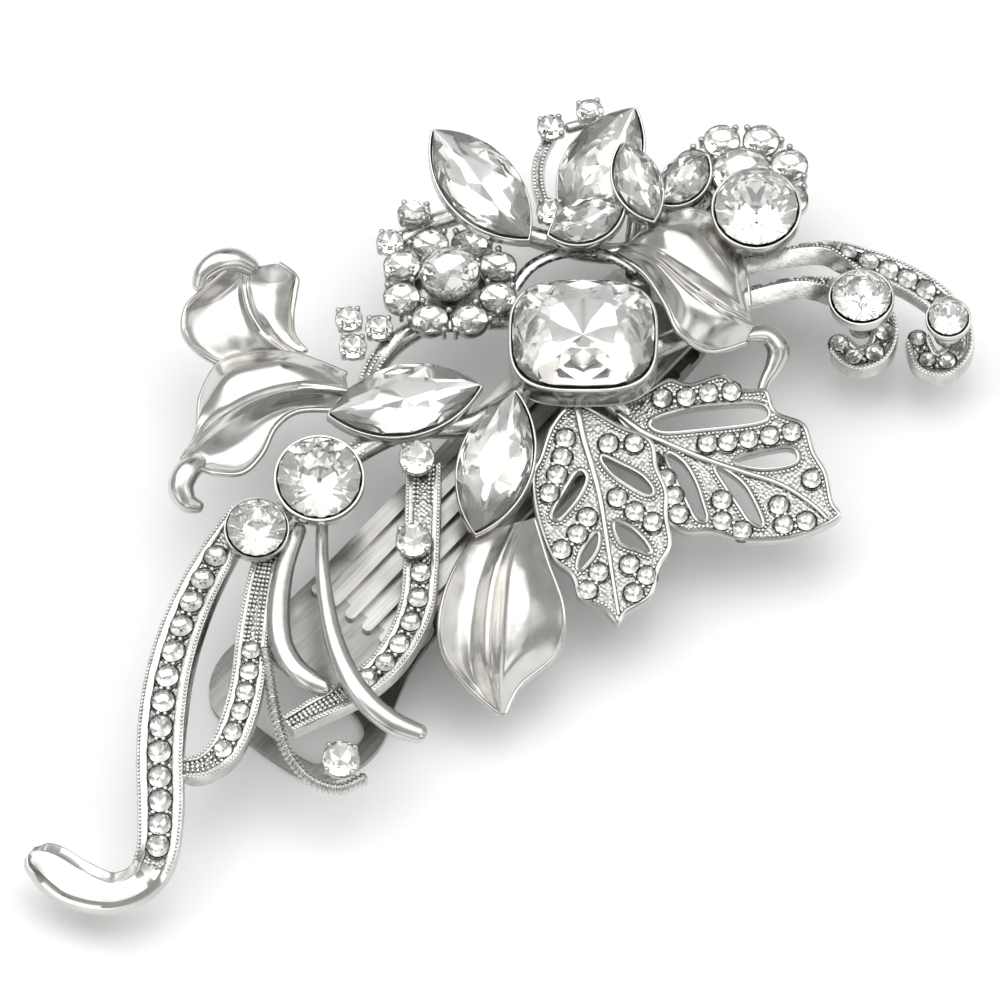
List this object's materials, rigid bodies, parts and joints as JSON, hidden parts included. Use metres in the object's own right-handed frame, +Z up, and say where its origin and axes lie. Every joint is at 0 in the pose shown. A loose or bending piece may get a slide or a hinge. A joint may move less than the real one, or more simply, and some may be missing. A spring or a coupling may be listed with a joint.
{
  "type": "decorative hair clip",
  "caption": "Sprung beak hair clip carrying a soldered rhodium-finish spray of lilies, filigree leaves, pave scrolls and bezel-set crystals, worn to fasten gathered hair",
  "frame": {"origin": "centre of the lower jaw's flat underside, the face the clip rests on", "axes": "+X runs along the clip to the tip of its jaws, +Z up through the clip to the decorated side, +Y by the right-hand rule; the spray is turned 50 degrees clockwise about +Z from the clip"},
  "size_m": [0.1112, 0.0651, 0.0195],
  "materials": {
    "polished_rhodium": "polished rhodium plate",
    "cast_rhodium": "rhodium plate over milgrained casting with darkened recesses",
    "clip_steel": "brushed nickel-plated steel",
    "spring_wire": "drawn spring wire",
    "crystal": "faceted clear crystal with mirror-foiled back"
  },
  "bodies": {
    "spray_and_upper_jaw": {"upper_jaw": "clip_steel", "hinge_pin": "clip_steel", "torsion_spring": "spring_wire", "solder_posts": "cast_rhodium", "branch_frame": "cast_rhodium", "left_lily_upper": "polished_rhodium", "left_lily_lower": "polished_rhodium", "right_lily": "polished_rhodium", "lily_rim": "polished_rhodium", "lower_lily": "polished_rhodium", "stamen_left": "polished_rhodium", "stamen_right": "polished_rhodium", "large_leaf": "cast_rhodium", "large_leaf_crystals": "crystal", "small_leaf": "cast_rhodium", "small_leaf_crystals": "crystal", "long_scroll": "cast_rhodium", "long_scroll_crystals": "crystal", "short_scroll": "cast_rhodium", "short_scroll_crystals": "crystal", "inner_scroll": "cast_rhodium", "inner_scroll_crystals": "crystal", "upper_right_scroll": "cast_rhodium", "upper_right_crystals": "crystal", "lower_right_scroll": "cast_rhodium", "lower_right_crystals": "crystal", "milgrain_curl": "cast_rhodium", "accent_cups": "cast_rhodium", "accent_crystals": "crystal", "left_flower": "cast_rhodium", "left_flower_crystals": "crystal", "left_flower_centre": "crystal", "cluster_cups": "cast_rhodium", "cluster_crystals": "crystal", "bud_stem": "cast_rhodium", "bud_crystals": "crystal", "right_flower": "cast_rhodium", "right_flower_crystals": "crystal", "right_flower_centre": "crystal", "front_cup": "cast_rhodium", "front_crystal": "crystal", "tall_cup": "cast_rhodium", "tall_cup_crystal": "crystal", "ringed_cup": "cast_rhodium", "ringed_cup_crystal": "crystal", "centre_bezel": "polished_rhodium", "centre_crystal": "crystal", "left_navette_bezel": "polished_rhodium", "left_navette": "crystal", "lower_navette_bezel": "polished_rhodium", "lower_navette": "crystal", "top_navette_bezels": "polished_rhodium", "top_navettes": "crystal", "large_round_bezel": "polished_rhodium", "large_round": "crystal", "medium_round_bezel": "polished_rhodium", "medium_round": "crystal"},
    "lower_jaw": {"lower_jaw": "clip_steel"}
  },
  "joints": [
    {"name": "jaw_hinge", "type": "hinge", "parent": "spray_and_upper_jaw", "child": "lower_jaw", "pos_m": [-0.019, 0, 0.0045], "axis": [0, 1, 0], "range_deg": [0, 20], "stiffness_Nm_per_rad": 0.15, "springref_deg": -57.3, "deforming": ["torsion_spring"]}
  ]
}
